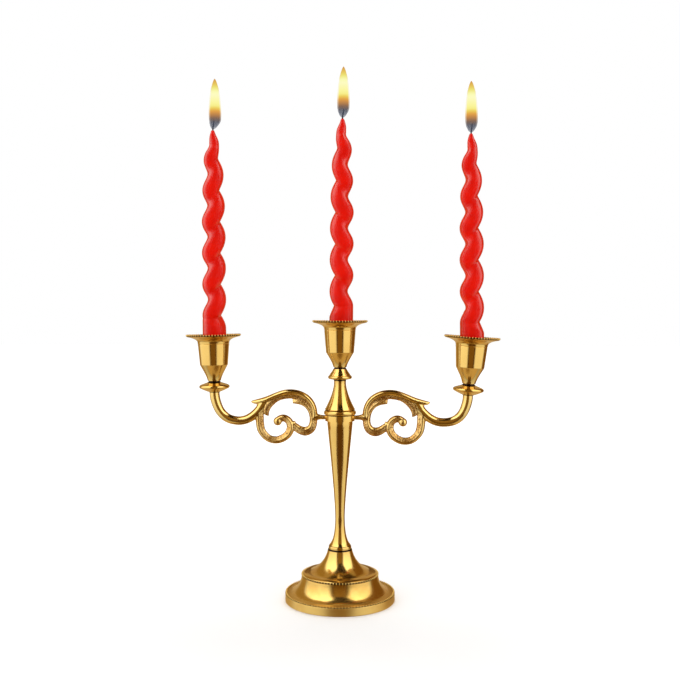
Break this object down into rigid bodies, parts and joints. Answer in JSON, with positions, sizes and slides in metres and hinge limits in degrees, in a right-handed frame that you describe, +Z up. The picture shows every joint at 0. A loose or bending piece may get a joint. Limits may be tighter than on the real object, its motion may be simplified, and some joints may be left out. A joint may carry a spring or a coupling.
{
  "type": "candelabrum",
  "caption": "Table candelabrum of turned and cast brass: round stepped foot, tapering column, turning scrolled arms, cups with drip pans, and twisted taper candles standing loose in them.",
  "frame": {"origin": "centre of the foot, on the surface it stands on", "axes": "+Z up along the stem; the arms lie along X with the front towards -Y"},
  "size_m": [0.2802, 0.0984, 0.4739],
  "materials": {
    "polished_brass": "polished, lacquered",
    "cast_brass": "cast, polished on the outer edges only",
    "steel": "zinc plated",
    "wax": "moulded candle wax, dyed through",
    "wick": "charred braided cotton",
    "flame": "glowing gas"
  },
  "bodies": {
    "stand": {"base": "polished_brass", "base_washer": "steel", "base_nut": "steel", "tie_rod": "steel", "column": "polished_brass", "upper_stem": "polished_brass", "centre_cup": "polished_brass", "centre_screw": "polished_brass"},
    "arms": {"arm_ring": "polished_brass", "left_arm": "cast_brass", "right_arm": "cast_brass", "left_seat": "polished_brass", "right_seat": "polished_brass", "left_cup": "polished_brass", "right_cup": "polished_brass", "left_screw": "polished_brass", "right_screw": "polished_brass"},
    "candle_centre": {"centre_candle": "wax", "centre_wick": "wick", "centre_flame": "flame"},
    "candle_left": {"left_candle": "wax", "left_wick": "wick", "left_flame": "flame"},
    "candle_right": {"right_candle": "wax", "right_wick": "wick", "right_flame": "flame"}
  },
  "joints": [
    {"name": "arm_swivel", "type": "hinge", "parent": "stand", "child": "arms", "pos_m": [0, 0, 0.164], "axis": [0, 0, 1], "continuous": true},
    {"name": "centre_lift", "type": "slide", "parent": "stand", "child": "candle_centre", "axis": [0, 0, 1], "range_m": [0, 0.03]},
    {"name": "left_lift", "type": "slide", "parent": "arms", "child": "candle_left", "axis": [0, 0, 1], "range_m": [0, 0.03]},
    {"name": "right_lift", "type": "slide", "parent": "arms", "child": "candle_right", "axis": [0, 0, 1], "range_m": [0, 0.03]}
  ]
}
